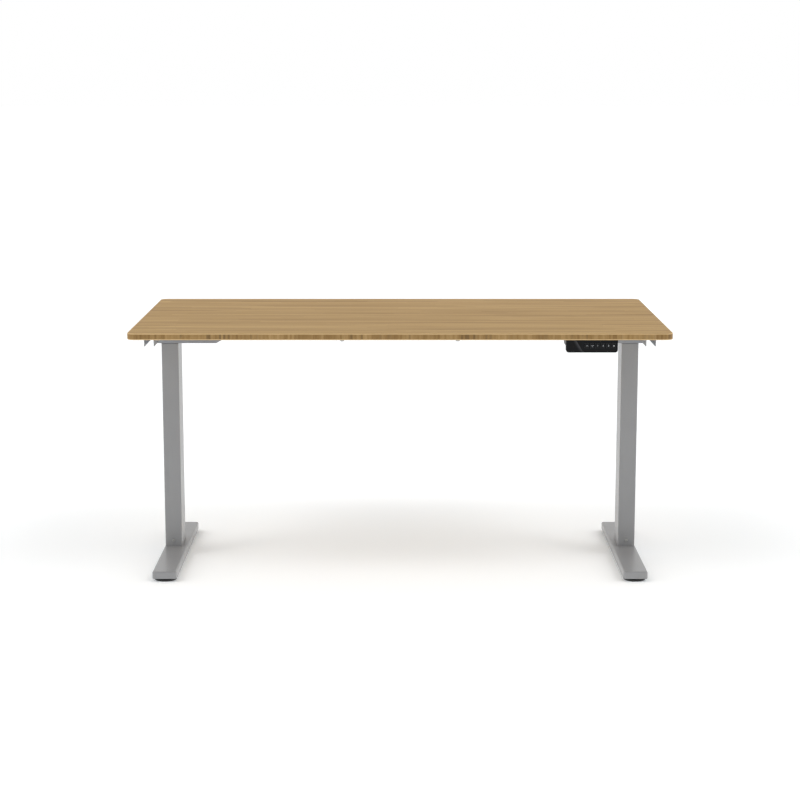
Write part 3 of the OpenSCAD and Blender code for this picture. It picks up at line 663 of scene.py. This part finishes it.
def make_lead(name, route, radius, replaced):
    """A round cable drawn along its route and turned into a mesh."""
    points = smooth_route(route)
    curve = bpy.data.curves.new(name, "CURVE")
    curve.dimensions = "3D"
    curve.bevel_depth = radius
    curve.bevel_resolution = LEAD_ROUNDNESS
    curve.use_fill_caps = True
    line = curve.splines.new("POLY")
    line.points.add(len(points) - 1)
    for point, place in zip(line.points, points):
        point.co = (*place, 1.0)
    bm = bmesh_from(curve, name + "_line")
    piece_from(bm, name, "top", [JACKET], [replaced])


# ---------------------------------------------------------------- key symbols

def stand_on_key(bm, key):
    """Moves a symbol drawn around the origin in the XZ plane to the front of its key."""
    low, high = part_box(key)
    bmesh.ops.translate(bm, vec=((low.x + high.x) / 2, low.y, (low.z + high.z) / 2), verts=bm.verts)


def chevron(key, up):
    """An arrow head of one constant stroke."""
    half, rise, stroke = ARROW_HALF, ARROW_RISE, ARROW_STROKE
    flip = 1 if up else -1
    outline = [(-half, -rise), (0, rise), (half, -rise), (half, -rise - stroke), (0, rise - stroke),
               (-half, -rise - stroke)]
    bm = bmesh.new()
    verts = [bm.verts.new((x, 0, flip * (z + stroke / 2))) for x, z in outline]
    bm.faces.new([verts[i] for i in (0, 1, 4, 5)])
    bm.faces.new([verts[i] for i in (1, 2, 3, 4)])
    finish_symbol(bm, key)


def dot(key):
    """A filled round dot."""
    bm = bmesh.new()
    turn = Matrix.Rotation(math.radians(90), 4, "X")
    bmesh.ops.create_circle(bm, cap_ends=True, segments=32, radius=DOT_RADIUS, matrix=turn)
    finish_symbol(bm, key)


def numeral(key, figure):
    """One figure in the plain built-in lettering, slightly bolder."""
    text = bpy.data.curves.new(key + "_figure", "FONT")
    text.body = figure
    text.size = FIGURE_SIZE
    text.align_x = "CENTER"
    text.align_y = "CENTER"
    text.offset = FIGURE_BOLDER
    bm = bmesh_from(text, key + "_maker")
    upright_turn = Matrix.Rotation(math.radians(90), 3, "X")
    bmesh.ops.rotate(bm, cent=(0, 0, 0), matrix=upright_turn, verts=bm.verts)
    finish_symbol(bm, key)


def finish_symbol(bm, key):
    """Gives a flat symbol its thickness of ink and puts it on its key."""
    grown = bmesh.ops.extrude_face_region(bm, geom=bm.faces[:])
    moved = [v for v in grown["geom"] if isinstance(v, bmesh.types.BMVert)]
    bmesh.ops.translate(bm, vec=(0, -SYMBOL_THICK, 0), verts=moved)
    stand_on_key(bm, key)
    piece_from(bm, key + "_symbol", key, [SYMBOL])


# ---------------------------------------------------------------- studio

def make_floor():
    """Plain pale floor with a faint cool glow of its own, which keeps its shadows light."""
    mesh = bpy.data.meshes.new("floor")
    bm = bmesh.new()
    bmesh.ops.create_grid(bm, x_segments=1, y_segments=1, size=FLOOR_HALF_SIZE)
    bm.to_mesh(mesh)
    bm.free()
    floor = bpy.data.objects.new("floor", mesh)
    bpy.context.scene.collection.objects.link(floor)
    s = Finish("floor_paint", roughness=0.9)
    s.set("Base Color", s.two_tone(s.noise(0.6, 2.0), *FLOOR_TONES))
    s.set("Specular IOR Level", 0.0)
    s.set("Emission Color", FLOOR_GLOW_COLOUR)
    s.set("Emission Strength", FLOOR_GLOW)
    mesh.materials.append(s.material)


def make_sky():
    """A white studio: dimmer behind the camera, with soft lamps on each side."""
    world = bpy.data.worlds.new("studio")
    bpy.context.scene.world = world
    world.use_nodes = True
    s = Graph(world.node_tree)
    direction = s.node("ShaderNodeTexCoord").outputs["Generated"]
    _, backwards, upwards = s.split(direction)
    light = s.math("MULTIPLY", s.scaled(backwards, -1.0, 1.0, FRONT_GLOW, BACK_GLOW),
                   s.scaled(upwards, 0.0, 1.0, HORIZON_SHARE, ZENITH_SHARE))
    for out, back, up, tightness, power in LAMPS:
        for side in (-1, 1):
            facing = s.node("ShaderNodeVectorMath", operation="DOT_PRODUCT")
            s.link(direction, facing.inputs[0])
            facing.inputs[1].default_value = Vector((side * out, back, up)).normalized()
            lobe = s.math("POWER", s.math("MAXIMUM", facing.outputs["Value"], 0.0), tightness)
            light = s.math("MULTIPLY_ADD", lobe, power, light)
    glow = world.node_tree.nodes["Background"]
    glow.inputs["Color"].default_value = WHITE
    s.link(light, glow.inputs["Strength"])
    # the eye sees plain white behind the desk, whatever lights it
    backdrop = s.node("ShaderNodeBackground")
    backdrop.inputs["Color"].default_value = WHITE
    choice = s.node("ShaderNodeMixShader")
    s.link(s.node("ShaderNodeLightPath").outputs["Is Camera Ray"], choice.inputs[0])
    s.link(glow.outputs[0], choice.inputs[1])
    s.link(backdrop.outputs[0], choice.inputs[2])
    s.link(choice.outputs[0], world.node_tree.nodes["World Output"].inputs["Surface"])


def make_camera():
    lens = bpy.data.cameras.new("camera")
    lens.lens = CAMERA_LENS
    lens.sensor_width = CAMERA_SENSOR
    lens.shift_y = CAMERA_SHIFT
    camera = bpy.data.objects.new("camera", lens)
    bpy.context.scene.collection.objects.link(camera)
    camera.location = CAMERA_PLACE
    camera.rotation_euler = (math.radians(90 - CAMERA_PITCH), 0.0, 0.0)
    bpy.context.scene.camera = camera


bpy.context.scene.view_settings.view_transform = "Standard"
make_camera()
make_floor()
make_sky()
finish_cad_nodes()
make_board()
for side in SIDES:
    make_foot(side)
mirrored_route = [(-x, y, z) for x, y, z in MOTOR_ROUTE]
make_lead("left_motor_cable", mirrored_route, MOTOR_LEAD_RADIUS, "left_motor_lead")
make_lead("right_motor_cable", MOTOR_ROUTE, MOTOR_LEAD_RADIUS, "right_motor_lead")
make_lead("handset_cable", HANDSET_ROUTE, HANDSET_LEAD_RADIUS, "handset_lead")
chevron("key_up", up=True)
chevron("key_down", up=False)
for figure in "123":
    numeral("key_" + figure, figure)
dot("key_memory")
